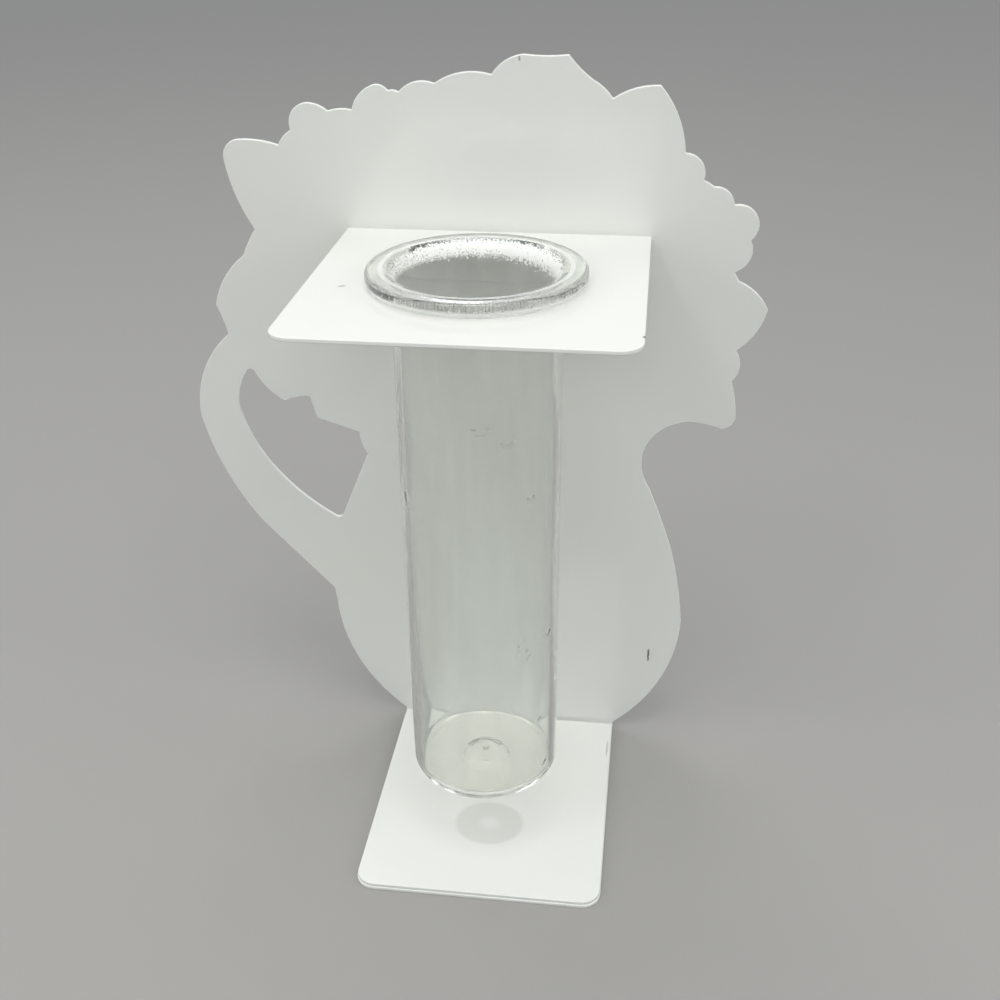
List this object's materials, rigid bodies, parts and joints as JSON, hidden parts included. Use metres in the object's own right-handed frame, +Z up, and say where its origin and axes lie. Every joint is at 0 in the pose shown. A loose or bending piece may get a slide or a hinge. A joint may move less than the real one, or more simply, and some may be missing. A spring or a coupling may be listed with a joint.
{
  "type": "cut-out metal vase",
  "caption": "Flat jug-of-flowers cut-out in white coated sheet steel, folded into a foot, with a shelf on its back whose round hole holds a lift-out flanged glass tube for stems.",
  "frame": {"origin": "centre of the foot's underside", "axes": "+Z up; +Y out of the panel's display face, so the shelf, the tube and the foot are on the -Y side; +X to the right when looking along +Y at the shelf, with the handle at -X"},
  "size_m": [0.1522, 0.0893, 0.2062],
  "materials": {
    "white_powder_coat": "semi-gloss white powder coat on sheet steel",
    "clear_glass": "clear, fire-polished rim"
  },
  "bodies": {
    "stand": {"panel": "white_powder_coat", "foot_plate": "white_powder_coat", "shelf": "white_powder_coat"},
    "tube": {"glass_tube": "clear_glass"}
  },
  "joints": [
    {"name": "tube_lift", "type": "slide", "parent": "stand", "child": "tube", "axis": [0, 0, 1], "range_m": [0, 0.15]}
  ]
}
